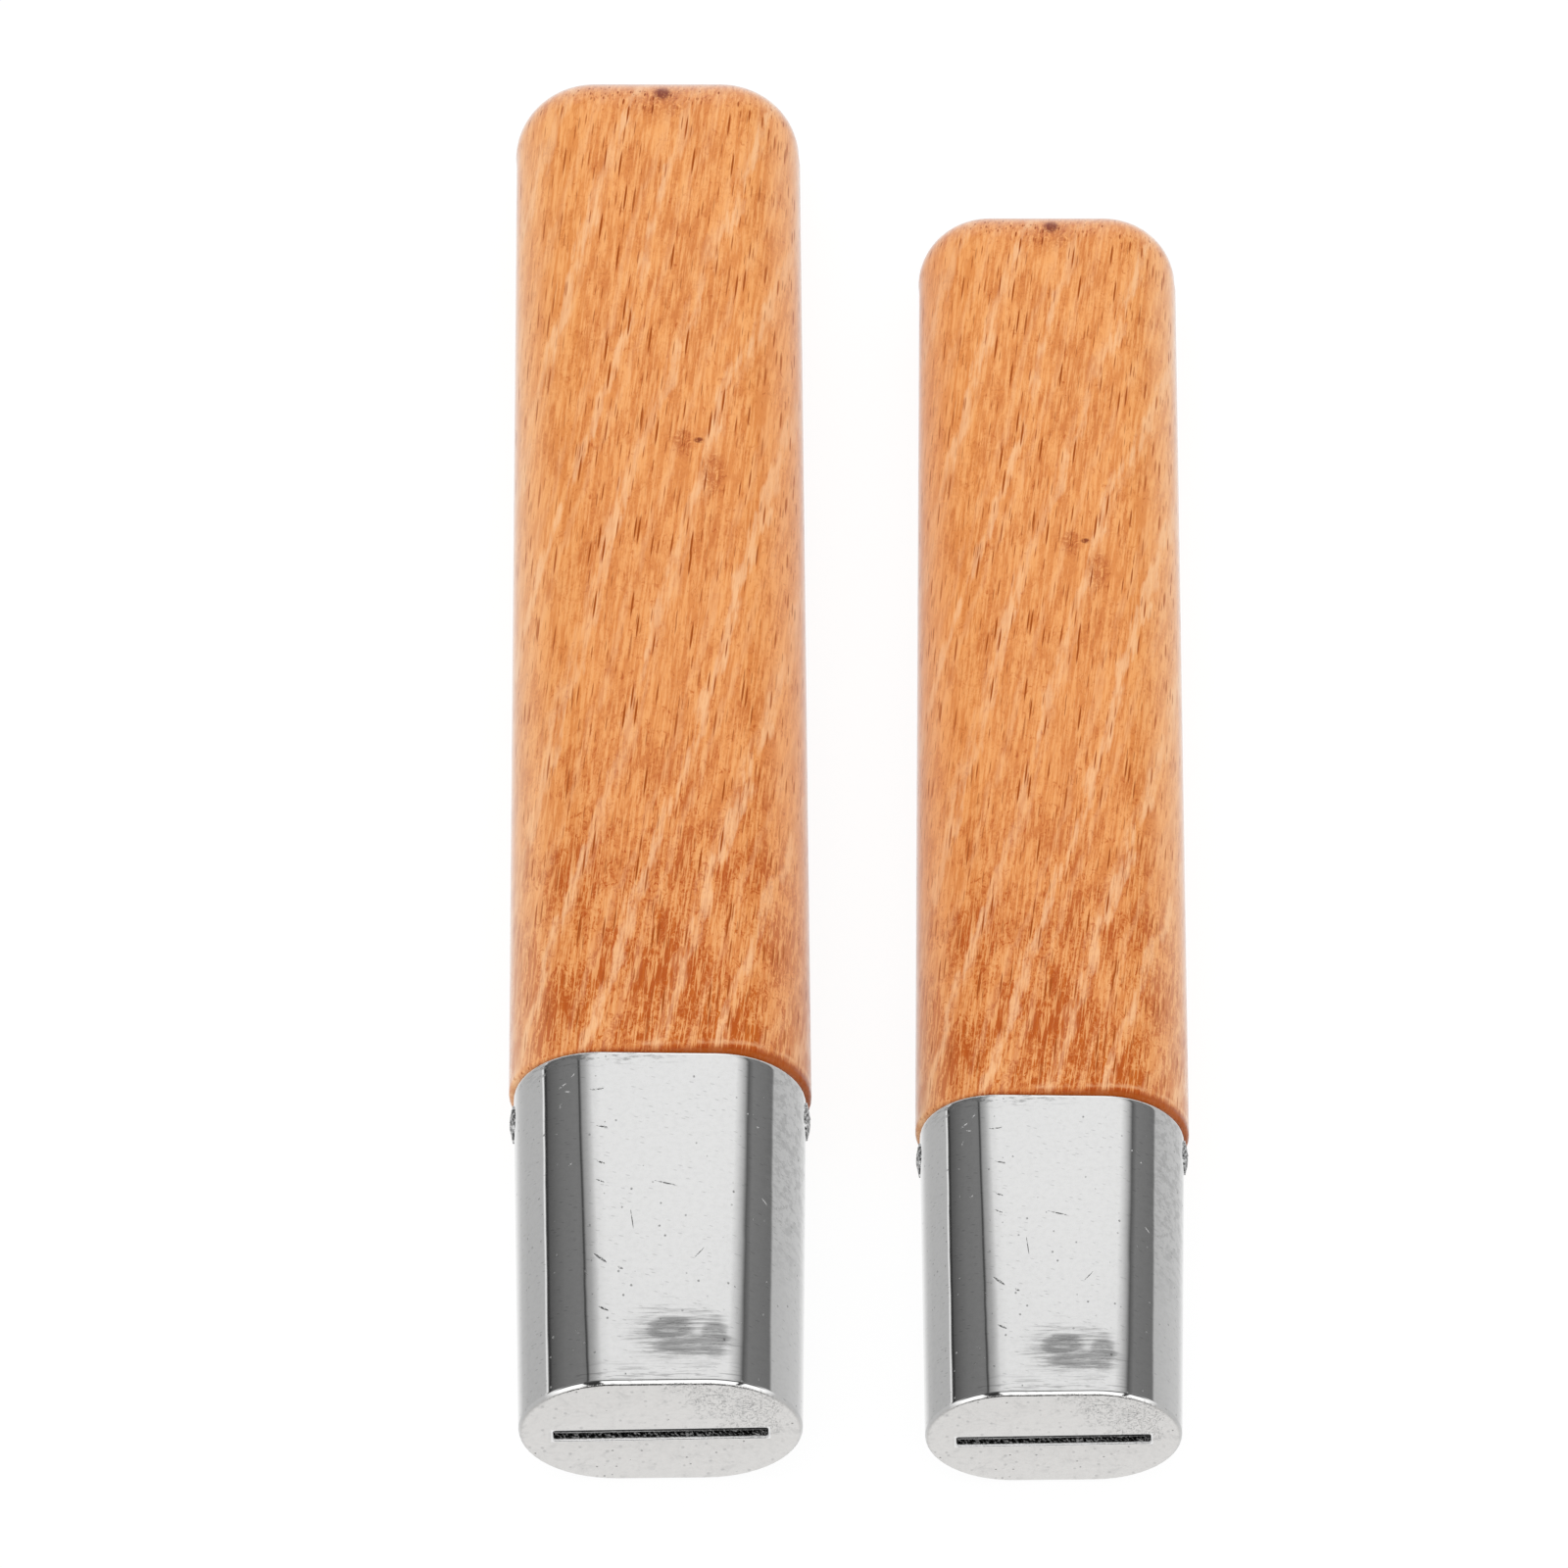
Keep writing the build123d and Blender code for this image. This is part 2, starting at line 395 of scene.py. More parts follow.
def makeNail(handle, side):
    form = nailForm
    ratio = handleRatio(handle)
    node = handle + "_" + side + "_nail"
    low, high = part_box(node)
    y, z = (low.y + high.y) / 2, (low.z + high.z) / 2
    outward = 1 if side == "right" else -1
    tip = high.x if outward > 0 else low.x
    headRadius = (high.z - low.z) / 2
    length = high.x - low.x
    headEdge = form["headEdge"] * ratio
    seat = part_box(handle + "_ferrule")[1 if outward > 0 else 0].x - outward * headEdge
    dome = abs(tip - seat) - 2 * headEdge
    # domed head, ring by ring from its crown to its edge
    bpy.ops.object.mode_set(mode="OBJECT")
    bpy.ops.object.select_all(action="DESELECT")
    bpy.ops.mesh.primitive_circle_add(vertices=form["turns"], radius=headRadius / form["rings"],
                                      fill_type="NGON", location=(tip, y, z),
                                      rotation=(0, outward * math.pi / 2, 0))
    nail = bpy.context.object
    nail.name = handle + side.capitalize() + "Nail"
    nail.data.name = nail.name
    bpy.ops.object.transform_apply(location=True, rotation=True, scale=True)
    bpy.ops.object.mode_set(mode="EDIT")
    bpy.ops.mesh.select_mode(type="EDGE")
    bpy.ops.mesh.select_all(action="SELECT")
    depth = 0
    for ring in range(2, form["rings"] + 1):
        step = dome * (ring / form["rings"]) ** 2 - depth
        depth += step
        bpy.ops.mesh.extrude_edges_move(TRANSFORM_OT_translate={"value": (-outward * step, 0, 0)})
        widen = ring / (ring - 1)
        bpy.ops.transform.resize(value=(1, widen, widen), center_override=(tip, y, z))
    # edge of the head, then the shank and its point
    shank = form["shank"] * ratio / headRadius
    point = form["point"] * ratio
    skirt = form["headSkirt"] * headEdge
    profile = [(skirt, 1), (0, shank), (length - depth - point - skirt, 1), (point, form["tip"])]
    for step, scale in profile:
        bpy.ops.mesh.extrude_edges_move(TRANSFORM_OT_translate={"value": (-outward * step, 0, 0)})
        bpy.ops.transform.resize(value=(1, scale, scale), center_override=(tip, y, z))
    bpy.ops.mesh.edge_face_add()

    # hammer marks on the dome, pressed inwards only
    def onDome(vert):
        return abs(vert.co.x - tip) < depth * 0.9 and math.hypot(vert.co.y - y, vert.co.z - z) > slack

    pick(nail, "verts", onDome)
    bpy.ops.transform.vertex_random(offset=form["hammered"] * ratio, uniform=0.0, normal=0.0, seed=3)
    bpy.ops.transform.translate(value=(-outward * form["hammered"] * ratio, 0, 0))
    finishPiece(form["smoothAngle"])
    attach(nail, handle + "_handle")
    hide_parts(node)
    return nail


ferrules = {handle: makeFerrule(handle) for handle in handles}
print("ferrules made")
grips = {handle: makeGrip(handle) for handle in handles}
print("grips made")
nails = {handle: [makeNail(handle, side) for side in ("left", "right")] for handle in handles}
print("nails made")


# Shader maths

class Wire:
    # one output of a shader node, which takes part in sums
    def __init__(self, tree, socket=None):
        self.tree = tree
        self.socket = socket

    def node(self, kind, settings=(), sockets=(), output=0):
        made = self.tree.nodes.new("ShaderNode" + kind)
        for name, value in dict(settings).items():
            if name == "stops":
                stops = made.color_ramp.elements
                stops.remove(stops[1])
                stops[0].position, stops[0].color = value[0]
                for place, colour in value[1:]:
                    stops.new(place).color = colour
            else:
                setattr(made, name, value)
        for name, value in dict(sockets).items():
            if isinstance(value, Wire):
                self.tree.links.new(value.socket, made.inputs[name])
            else:
                made.inputs[name].default_value = value
        return Wire(self.tree, made.outputs[output])

    def maths(self, operation, first, second=0.0):
        return self.node("Math", {"operation": operation}, {0: first, 1: second})

    def __add__(self, other):
        return self.maths("ADD", self, other)

    def __radd__(self, other):
        return self.maths("ADD", other, self)

    def __sub__(self, other):
        return self.maths("SUBTRACT", self, other)

    def __rsub__(self, other):
        return self.maths("SUBTRACT", other, self)

    def __mul__(self, other):
        return self.maths("MULTIPLY", self, other)

    def __rmul__(self, other):
        return self.maths("MULTIPLY", other, self)

    def __truediv__(self, other):
        return self.maths("DIVIDE", self, other)

    def __rtruediv__(self, other):
        return self.maths("DIVIDE", other, self)

    def __pow__(self, other):
        return self.maths("POWER", self, other)

    def __abs__(self):
        return self.maths("ABSOLUTE", self)


def tint(red, green, blue):
    # a colour as a screen shows it, 0 to 255, made linear
    parts = [part / 255 for part in (red, green, blue)]
    linear = [part / 12.92 if part <= 0.04045 else ((part + 0.055) / 1.055) ** 2.4 for part in parts]
    return (*linear, 1)


def grey(level):
    return (level, level, level, 1)


def rise(value, low, high):
    # 0 below low, 1 above high and a smooth rise between them
    return value.node("MapRange", {"interpolation_type": "SMOOTHSTEP"},
                      {"Value": value, "From Min": low, "From Max": high})


def blend(factor, first, second, kind="MIX"):
    return factor.node("Mix", {"data_type": "RGBA", "blend_type": kind}, {0: factor, 6: first, 7: second}, 2)


def stretch(vector, scale, turn=0.0, shift=(0, 0, 0)):
    # a pattern's own coordinates: turned in the plan by some degrees, then scaled
    turned = vector.node("Mapping", {}, {"Vector": vector, "Rotation": (0, 0, math.radians(turn)),
                                         "Location": shift})
    return turned.node("VectorMath", {"operation": "MULTIPLY"}, {0: turned, 1: scale})


def noise(vector, detail=2.0, roughness=0.5, distortion=0.0):
    return vector.node("TexNoise", {}, {"Vector": vector, "Scale": 1.0,
                                        "Detail": detail, "Roughness": roughness,
                                        "Distortion": distortion})


def cells(vector, output="Distance"):
    return vector.node("TexVoronoi", {}, {"Vector": vector, "Scale": 1.0}, output)


def axes(vector):
    split = vector.node("SeparateXYZ", {}, {0: vector})
    return [Wire(vector.tree, output) for output in split.socket.node.outputs]


def scattered(place, core, reach, scarce, common):
    # a small spot in each cell of a pattern, and none in those whose chance is low
    return (1 - rise(cells(place), core, reach)) * rise(cells(place, "Color"), scarce, common)


def largest(*masks):
    return reduce(lambda first, second: first.maths("MAXIMUM", first, second), masks)


def bump(height, depth):
    return height.node("Bump", {}, {"Height": height, "Strength": 1.0, "Distance": depth})


def startMaterial(name, handle, originY):
    # an empty material, and its coordinates in the large handle's millimetres
    material = bpy.data.materials.new(name)
    material.use_nodes = True
    tree = material.node_tree
    tree.nodes.remove(tree.nodes["Principled BSDF"])
    ratio = handleRatio(handle)
    low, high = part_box(handle + "_grip")
    scale = 1000 / ratio
    shift = (-(low.x + high.x) / 2 * scale, -originY * scale, 0)
    place = Wire(tree).node("TexCoord", output="Object")
    millimetres = place.node("Mapping", {}, {"Vector": place, "Scale": (scale,) * 3, "Location": shift})
    return material, millimetres


def finishMaterial(material, shader):
    material.node_tree.links.new(shader.socket, material.node_tree.nodes["Material Output"].inputs["Surface"])
    return material


# Oiled beech

woodLook = {
    "light": tint(255, 191, 127),
    "body": tint(248, 171, 101),
    "deep": tint(231, 146, 76),
    "pale": tint(255, 205, 156),
    "amber": (0.62, 0.33, 0.11, 1),      # what a dark cloud leaves of the colour under it
    "fleck": tint(168, 80, 18),
    "knot": tint(122, 36, 10),
    "endGrainAndShade": (0.62, 0.44, 0.34, 1),
    "tenonShade": grey(0.015),
    "grainLean": 6.5,      # degrees that the grain leans off the handle's length
    "figureLean": 16.0,    # and the pale streaks
    # how often a pattern changes in a millimetre: across the grain, along it and upwards
    "fibres": (2.0, 0.16, 0.7),
    "fineFibres": (5.0, 0.3, 1.2),
    "flecks": (1.9, 0.12, 1.3),
    "smallFlecks": (2.8, 0.22, 1.8),
    "streakGap": 6.2,
    "streakWidth": 1.6,
    "faintWidth": 1.2,     # of the fainter streaks between them
    # pin knots and the dark patches round them: place across, place along, reach across, reach along, depth
    "knots": [(0.5, 108.2, 1.1, 1.4, 0.85), (3.9, 68.4, 0.62, 0.45, 0.85)],
    "halos": [(0.3, 107.0, 3.4, 3.4, 0.5), (2.4, 68.2, 1.3, 2.2, 0.7), (5.2, 64.8, 1.5, 3.2, 0.7)],
    "lacquer": 1.0,
    "haze": 1.0,
}


def spotsMask(place, spots):
    # soft round spots on the broad face, as one mask; place is the coordinates split into three
    masks = []
    for u, v, reachAcross, reachAlong, depth in spots:
        distance = (((place[0] - u) / reachAcross) ** 2 + ((place[1] - v) / reachAlong) ** 2) ** 0.5
        masks.append((1 - rise(distance, 0.35, 1.0)) * depth)
    return largest(*masks)


def streakMask(figure, splinter, gap, sway, width):
    # long lines across the figure, each a drift of pale fibres side by side
    phase = axes(figure)[0] / gap + sway
    distance = abs(phase.maths("FRACT", phase) - 0.5) * gap
    return rise((1 - rise(distance, 0, width)) + (splinter - 0.5) * 1.9, 0.6, 1.1)


def makeWood(handle):
    look = woodLook
    material, p = startMaterial(handle + "Wood", handle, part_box(handle + "_ferrule")[1].y)
    place = axes(p)
    grain = stretch(p, (1, 1, 1), look["grainLean"])
    figure = stretch(p, (1, 1, 1), look["figureLean"])
    nearFerrule = 1 - rise(place[1], -6.0, 44.0)
    broad = 1 - rise(abs(place[0]), 6.0, 12.5)
    # fibres, softer towards the butt end
    fibre = noise(stretch(grain, look["fibres"]), 4.0, 0.62)
    fine = noise(stretch(grain, look["fineFibres"]), 3.0, 0.65)
    crisp = 0.34 + 0.56 * nearFerrule
    colour = blend(rise(fibre + (fine - 0.5) * 0.5, 0.4, 0.6), look["deep"], look["body"])
    colour = blend(rise(fine + (fibre - 0.5) * 0.3, 0.49, 0.62) * crisp, colour, look["light"])
    # pale streaks that lean across the grain
    splinter = noise(stretch(grain, (1.8, 0.22, 0.7), shift=(4, 9, 1)), 3.0, 0.6)
    sway = noise(stretch(figure, (0.07, 0.02, 0.07)), 2.0)
    sway = sway + noise(stretch(figure, (0.12, 0.22, 0.12)), 3.0) * 0.3
    strength = rise(noise(stretch(figure, (0.3, 0.06, 0.3), shift=(7, 2, 5)), 2.0), 0.34, 0.56)
    gap = look["streakGap"]
    bold = streakMask(figure, splinter, gap, sway, look["streakWidth"]) * (0.55 + 0.45 * strength)
    faint = streakMask(figure, splinter, gap * 0.6, sway * 1.4, look["faintWidth"]) * 0.28
    streak = largest(bold, faint) * rise(fine, 0.2, 0.5)
    # dark clouds between the streaks, curled across the grain, deeper near the ferrule
    curl = noise(stretch(grain, (1.5, 1.0, 1.5)), 5.0, 0.72, 1.8)
    cloud = noise(stretch(figure, (0.3, 0.15, 0.3)), 4.0, 0.6, 0.4)
    rings = noise(stretch(grain, (0.42, 0.3, 0.42), shift=(1, 3, 8)), 3.0, 0.55, 1.6)
    ringed = 1 - rise(abs(rings - 0.5), 0.01, 0.06)
    mottle = rise(cloud + (curl - 0.5) * 0.9 + nearFerrule * 0.08 - streak * 0.06, 0.46, 0.64)
    mottle = largest(mottle, ringed * broad * 0.5)
    speck = rise(noise(stretch(grain, (2.0, 1.1, 2.0), shift=(5, 5, 5)), 3.0, 0.65, 0.8), 0.6, 0.7)
    clear = rise(fine, 0.46, 0.6) * (0.6 + 0.25 * nearFerrule)
    amber = mottle * (0.34 + 0.8 * nearFerrule) * (1 - clear) * (0.2 + 1.6 * curl)
    amber = amber + speck * (0.45 + 0.5 * nearFerrule)
    # darker over the whole grip towards the ferrule
    gloom = 0.14 * (1 - rise(place[1], 15.0, 112.0)) + 0.12 * nearFerrule
    colour = blend(amber + gloom, colour, look["amber"], "MULTIPLY")
    colour = blend(streak * 0.6, colour, look["pale"])
    # paler on the rounded flanks: a painted reflection of the white surroundings in the lacquer at a grazing
    # angle
    colour = blend(rise(abs(place[0]), 9.0, 14.0) * 0.4, colour, look["pale"])
    # dark flecks along the grain
    fleck = scattered(stretch(grain, look["flecks"]), 0.1375, 0.25, 0.2, 0.45)
    small = scattered(stretch(grain, look["smallFlecks"], shift=(3, 5, 2)), 0.132, 0.24, 0.2, 0.45)
    fleck = largest(fleck, small * 0.7) * (0.7 + 0.3 * broad)
    colour = blend(fleck, colour, look["fleck"])
    # pin knots and their halos
    knots = spotsMask(place, look["knots"]) * rise(curl, 0.3, 0.5)
    halos = spotsMask(place, look["halos"]) * rise(curl, 0.36, 0.54)
    colour = blend(halos, colour, look["amber"], "MULTIPLY")
    colour = blend(knots, colour, look["knot"])
    # the finish has sunk into the flecks, the knots and the dark clouds
    sunk = largest(fleck, knots, amber * (0.2 + 0.6 * nearFerrule))
    # darker end grain at the butt, partly its own colour and partly painted shade; painted shade in the joint
    # at the ferrule, where the finish also gathers; and the tenon inside the ferrule painted near black as
    # shade
    end = rise(place[1] + (fibre - 0.5) * 1.5, 109.4, 111.2)
    colour = blend(end, colour, look["endGrainAndShade"], "MULTIPLY")
    edge = place[1] - place[0] * math.tan(math.radians(ferruleForm["rimTurn"])) + (curl - 0.5) * 0.9
    # painted highlight: a pale broken line on the shoulder's rounding just above the ferrule
    shoulderHighlight = rise(edge, 0.5, 0.8) * (1 - rise(edge, 0.8, 1.3)) * rise(cloud, 0.45, 0.6)
    colour = blend(shoulderHighlight * 0.35, colour, look["pale"])
    # painted shade in the joint with the ferrule, where the finish also gathers: darker next to the rim, and
    # a thin dark line right at it
    colour = blend((1 - rise(edge, 0.15, 0.8)) * 0.7, colour, look["amber"], "MULTIPLY")
    colour = blend((1 - rise(edge, 0.0, 0.35)) * 0.85, colour, look["fleck"])
    # painted shade: the tenon inside the ferrule is painted near black for the dark hollow seen through the
    # slot
    colour = blend(1 - rise(place[1], -3.0, -1.0), colour, look["tenonShade"])
    height = fine * 0.006 - fleck * 0.005
    shader = colour.node("BsdfPrincipled", {}, {
        "Base Color": colour,
        "Roughness": 0.5 + 0.1 * fine,
        "IOR": 1.15,
        "Coat Weight": look["lacquer"] * (1 - 0.9 * largest(sunk, end * 0.7)),
        "Coat Roughness": 0.2,
        "Coat IOR": 1.3,
        "Sheen Weight": look["haze"],
        "Sheen Roughness": 0.3,
        "Normal": bump(height, 0.001),
    })
    return finishMaterial(material, shader)


# Polished ferrule

ferruleLook = {
    "metal": (0.8, 0.8, 0.797, 1),
    "plateMetal": (0.77, 0.758, 0.742, 1),
    "dull": (0.4, 0.4, 0.4, 1),
    "paintedDark": (0.26, 0.26, 0.26, 1),
    "nick": grey(0.12),
    "burnishAndHighlight": grey(0.93),
    "polish": 0.05,
    "dust": (0.9, 0.8, 0.9),             # how often in a millimetre, across, along and upwards
    "hairlines": (0.85, 3.2, 0.85),
    "ripples": (0.3, 3.6, 0.3),
    # nicks: place across, place along from the plate, half length, half width, lean in degrees
    "nicks": [
        (-5.8, 32.1, 0.75, 0.12, 4), (-5.3, 28.0, 0.6, 0.12, -12), (-5.4, 24.1, 0.45, 0.11, -22),
        (-5.5, 22.1, 0.5, 0.1, -25), (-5.5, 13.7, 0.9, 0.16, -40), (-3.6, 12.6, 0.3, 0.14, -30),
        (-5.2, 8.2, 0.6, 0.14, -28), (0.6, 21.8, 1.15, 0.1, -15), (3.8, 14.2, 0.75, 0.06, 50),
        (-2.5, 17.9, 1.2, 0.05, 97),
    ],
    # white scuffs across the dark reflections
    "scuffs": [
        (-9.0, 33.0, 0.6, 0.14, 30), (-8.5, 32.2, 0.5, 0.13, -20), (-9.2, 31.0, 0.3, 0.1, 60),
        (-8.0, 33.9, 0.5, 0.1, 50), (-8.3, 24.3, 0.3, 0.12, 35), (-9.6, 28.0, 0.14, 0.14, 0),
        (8.4, 29.6, 0.14, 0.14, 0), (9.9, 20.6, 0.5, 0.09, -50), (9.3, 28.4, 0.16, 0.14, 0),
    ],
    # the dark rippled patches, a painted reflection: place across, place along, reach across, reach along,
    # depth
    "reflectionPatches": [
        (1.1, 6.0, 3.8, 2.3, 0.8), (2.9, 4.2, 5.8, 2.0, 0.76),
        (5.1, 4.9, 2.3, 3.5, 0.72), (1.4, 5.6, 7.0, 4.6, 0.46),
    ],
}


def strokesMask(place, strokes):
    # short strokes on the broad face, as one mask
    masks = []
    for u, v, halfLength, halfWidth, lean in strokes:
        turn = math.radians(lean)
        along = (place[0] - u) * math.cos(turn) + (place[1] - v) * math.sin(turn)
        across = (place[1] - v) * math.cos(turn) - (place[0] - u) * math.sin(turn)
        masks.append(1 - rise(((along / halfLength) ** 2 + (across / halfWidth) ** 2) ** 0.5, 0.25, 1.0))
    return largest(*masks)


def makePolish(handle):
    look = ferruleLook
    material, p = startMaterial(handle + "Polish", handle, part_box(handle + "_ferrule")[0].y)
    place = axes(p)
    u, v, w = place
    onPlate = 1 - rise(v, 0.03, 0.2)
    onTop = rise(w, 12.0, 13.0)
    # brighter line round the slot: partly a burnished edge, partly a painted highlight on it
    low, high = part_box(handle + "_ferrule")
    slotHalf = [side / 2 * 1000 for side in ferruleForm["slotSize"]]
    slotW = ((low.z + high.z) / 2 / handleRatio(handle) - ferruleForm["slotDrop"]) * 1000
    besideSlot = abs(u) - slotHalf[0]
    overSlot = abs(w - u * math.tan(math.radians(ferruleForm["slotTilt"])) - slotW) - slotHalf[1]
    burnishAndHighlight = onPlate * (1 - rise(largest(besideSlot, overSlot), 0.12, 0.24))
    broken = rise(noise(stretch(p, (4, 4, 4)), 2.0), 0.32, 0.5)
    nicks = strokesMask(place, look["nicks"]) * onTop * broken
    scuffs = strokesMask(place, look["scuffs"]) * onTop * broken
    # dust pits and hairlines all over
    dust = scattered(stretch(p, look["dust"]), 0.06, 0.14, 0.35, 0.55)
    hair = scattered(stretch(p, look["hairlines"], 15), 0.12, 0.26, 0.45, 0.6)
    cloudy = noise(stretch(p, (1.6, 1.9, 1.6)), 5.0, 0.72)
    # painted reflection: a dark rippled patch near the front of the broad face, over ripples in the bump
    ripple = noise(stretch(p, look["ripples"], shift=(2, 1, 0)), 4.0, 0.65, 0.35)
    patch = spotsMask(place, look["reflectionPatches"]) * rise(w, 16.0, 16.8)
    darkReflection = rise(patch + (ripple - 0.5) * 4.4 * patch ** 0.5 * (1.15 - patch), 0.1, 1.0)
    # scratched rim, and broken dark lines where the face turns down to the plate, which are painted shade
    # beside the bright front edge
    byRim = rise(v, 34.0, 35.8) * rise(w, 13.0, 16.0) * rise(2 - u, -2.0, 4.0)
    byRim = byRim * rise(noise(stretch(p, (0.7, 3.2, 0.7)), 4.0, 0.7), 0.5, 0.62)
    crease = rise(v, 0.4, 0.6) * (1 - rise(v, 0.8, 3.2)) * rise(w, 17.2, 17.6)
    crease = crease * rise(noise(stretch(p, look["ripples"]), 3.0, 0.6), 0.5, 0.6)
    orange = noise(stretch(p, (0.9, 1.1, 0.9), shift=(6, 0, 0)), 5.0, 0.75)
    flank = rise(u, 9.5, 11.5) * rise(v, 8.0, 24.0) * rise(orange, 0.45, 0.58)
    worn = (1 - rise(v, 0.0, 26.0)) * (1 - onPlate)
    # mottled plate, with a curled pitting on one side
    mottle = noise(stretch(p, (0.75, 0.35, 0.6)), 5.0, 0.65, 0.6)
    curled = noise(stretch(p, (1.1, 1.1, 1.1)), 2.0, 0.5, 2.2)
    pitted = rise(u + w * 0.8 + (mottle - 0.5) * 12, 13.0, 16.0)
    pitted = pitted * (1 - rise(u, 10.5, 12.0)) * rise(w, 8.2, 9.0)
    pits = (1 - rise(abs(curled - 0.5), 0.012, 0.035)) * pitted * onPlate * rise(cloudy, 0.42, 0.56)
    colour = blend(onPlate, look["metal"], look["plateMetal"])
    rubbed = worn * 0.06 + rise(cloudy, 0.4, 0.7) * 0.12 + hair * 0.4 + flank * 0.4
    colour = blend(rubbed, colour, look["dull"])
    # painted reflection: the dark rippled patch
    colour = blend(darkReflection * 0.95, colour, look["paintedDark"])
    colour = blend(byRim * 0.7 + crease * 0.7, colour, look["dull"])
    colour = blend(nicks * 0.95 + dust * 0.4, colour, look["nick"])
    colour = blend(onPlate * rise(mottle, 0.5, 0.72) * 0.25 + pits * 0.6, colour, look["dull"])
    colour = blend(burnishAndHighlight, colour, look["burnishAndHighlight"])
    wave = noise(stretch(p, (0.2, 0.1, 0.2)), 2.0)
    height = wave * 0.03 + ripple * patch * 0.02 - nicks * 0.04 + onPlate * (mottle * 0.08 - pits * 0.03)
    roughness = look["polish"] + dust * 0.45 + scuffs * 0.65 + nicks * 0.2 + byRim * 0.2 + onPlate * 0.14
    shader = colour.node("BsdfPrincipled", {}, {
        "Base Color": colour,
        "Metallic": 1.0,
        "Roughness": roughness,
        "Normal": bump(height, 0.001),
    })
    return finishMaterial(material, shader)


# Sheared wall of the slot: painted shade, near black for the dark hollow it faces, torn and granular, with a
# painted highlight on the burr along its inner edge and on the lip at its front

cutEdgeLook = {
    "paintedDark": grey(0.004),
    "torn": grey(0.5),
    "bright": grey(0.95),
    "roughness": 0.5,
    "relief": 0.00012,
}


def makeCutEdge(handle):
    look = cutEdgeLook
    material, p = startMaterial(handle + "CutEdge", handle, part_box(handle + "_ferrule")[0].y)
    u, v = axes(p)[:2]
    torn = noise(stretch(p, (5.5, 2.4, 5.5), -50), 3.0, 0.7, 0.5)
    colour = blend(rise(torn, 0.52, 0.6) * rise(v, 0.05, 0.3), look["paintedDark"], look["torn"])
    wander = (noise(stretch(p, (0.8, 1, 1)), 2.0) - 0.5) * 0.08
    # painted highlight along the burr, brightest at the left
    burrHighlight = rise(v + wander, 0.83, 0.86) * (1 - rise(v + wander, 0.93, 0.96))
    colour = blend(burrHighlight * (1 - rise(u, -3.0, 6.0) * 0.75), colour, look["bright"])
    # painted shade: a thin dark line beyond the burr
    colour = blend(rise(v + wander, 0.94, 0.96), colour, look["paintedDark"])
    # painted highlight on the lip at the wall's front
    lipHighlight = 1 - rise(v + (torn - 0.5) * 0.4, 0.16, 0.24)
    colour = blend(lipHighlight, colour, look["bright"])
    shader = colour.node("BsdfPrincipled", {}, {
        "Base Color": colour,
        "Roughness": look["roughness"],
        "Specular IOR Level": 0.0,
        "Normal": bump(torn, look["relief"]),
    })
    return finishMaterial(material, shader)


# Nail heads, hammered flat and filed over

nailLook = {
    "dull": grey(0.1),
    "bright": grey(0.85),
    "polish": 0.22,
    "relief": 0.00025,
}


def makeNailHead(handle):
    look = nailLook
    material, p = startMaterial(handle + "NailHead", handle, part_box(handle + "_ferrule")[0].y)
    dents = cells(stretch(p, (2.6, 2.2, 2.2)))
    rough = noise(stretch(p, (2.6, 2.6, 2.6)), 4.0, 0.7)
    colour = blend(rise(rough, 0.42, 0.6), look["dull"], look["bright"])
    shader = colour.node("BsdfPrincipled", {}, {
        "Base Color": colour,
        "Metallic": 1.0,
        "Roughness": look["polish"] + 0.3 * rough,
        "Normal": bump(dents + rough * 0.6, look["relief"]),
    })
    return finishMaterial(material, shader)


def dress(piece, *materials):
    piece.data.materials.clear()
    for material in materials:
        piece.data.materials.append(material)


for handle in handles:
    dress(grips[handle], makeWood(handle))
    ferrules[handle].data.materials[0] = makePolish(handle)
    ferrules[handle].data.materials[1] = makeCutEdge(handle)
    nailHead = makeNailHead(handle)
    for nail in nails[handle]:
        dress(nail, nailHead)
print("materials made")


# Camera

cameraSet = {
    "azimuth": 1.3,
    "elevation": 59.0,
    "roll": -1.7,
    "distance": 6.0,
    "clipEnd": 20.0,
    "sensor": 36.0,
    "lens": 1458.0,
    "aim": (-0.0061, 0.00248, 0),
}


def makeCamera():
    turn = (Matrix.Rotation(math.radians(cameraSet["azimuth"]), 3, "Z")
            @ Matrix.Rotation(math.radians(90 - cameraSet["elevation"]), 3, "X")
            @ Matrix.Rotation(math.radians(cameraSet["roll"]), 3, "Z"))
    place = Vector(cameraSet["aim"]) + turn @ Vector((0, 0, cameraSet["distance"]))
    bpy.ops.object.camera_add(location=place, rotation=turn.to_euler())
    camera = bpy.context.object
    camera.data.lens = cameraSet["lens"]
    camera.data.sensor_width = cameraSet["sensor"]
    camera.data.clip_end = cameraSet["clipEnd"]
    bpy.context.scene.camera = camera


bpy.ops.object.select_all(action="DESELECT")
makeCamera()
bpy.context.scene.view_settings.view_transform = "Standard"


# Studio

